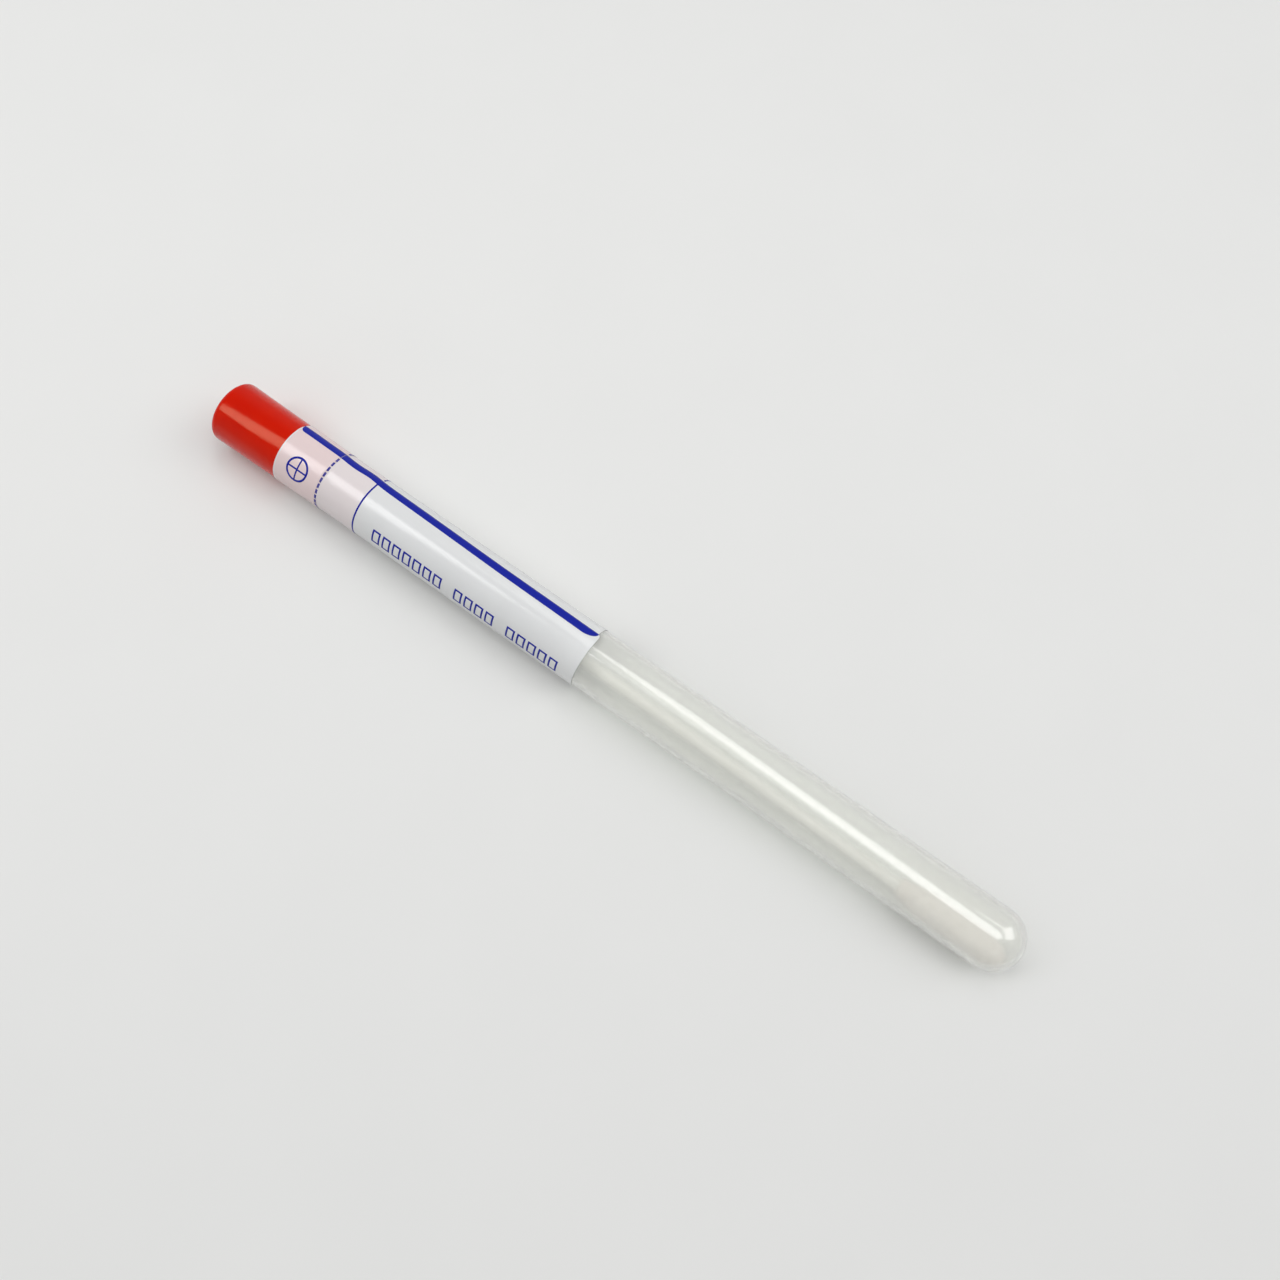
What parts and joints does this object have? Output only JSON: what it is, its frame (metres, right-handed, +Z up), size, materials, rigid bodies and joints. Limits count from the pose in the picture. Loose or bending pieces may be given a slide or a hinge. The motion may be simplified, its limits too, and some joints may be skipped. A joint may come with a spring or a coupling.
{
  "type": "specimen swab tube",
  "caption": "Round-bottomed translucent specimen tube lying on its side, closed by a red push-in stopper that carries a cotton-tipped swab; white wrap label with a blue edge stripe.",
  "frame": {"origin": "on the table, under the middle of the lying object's box", "axes": "+X along the tube from the cap's closed end to the round bottom, +Z up, +Y to the side where the stripe is"},
  "size_m": [0.1812, 0.0128, 0.0128],
  "materials": {
    "tube_polypropylene": "hazy translucent moulded polypropylene, polished mould",
    "cap_polyethylene": "satin moulded polyethylene, red",
    "stick_polystyrene": "white moulded polystyrene",
    "cotton": "wound cotton, fuzzy",
    "label_film": "white self-adhesive film, slightly see-through",
    "navy_ink": "printed navy ink"
  },
  "bodies": {
    "tube": {"tube": "tube_polypropylene", "label": "label_film", "label_stripe": "navy_ink", "cut_line": "navy_ink"},
    "swab_cap": {"cap": "cap_polyethylene", "swab_stick": "stick_polystyrene", "cotton_bud": "cotton", "seal_tab": "label_film", "tab_stripe": "navy_ink", "ring_mark": "navy_ink"}
  },
  "joints": [
    {"name": "cap_pull", "type": "slide", "parent": "tube", "child": "swab_cap", "axis": [-1, 0, 0], "range_m": [0, 0.16]}
  ]
}
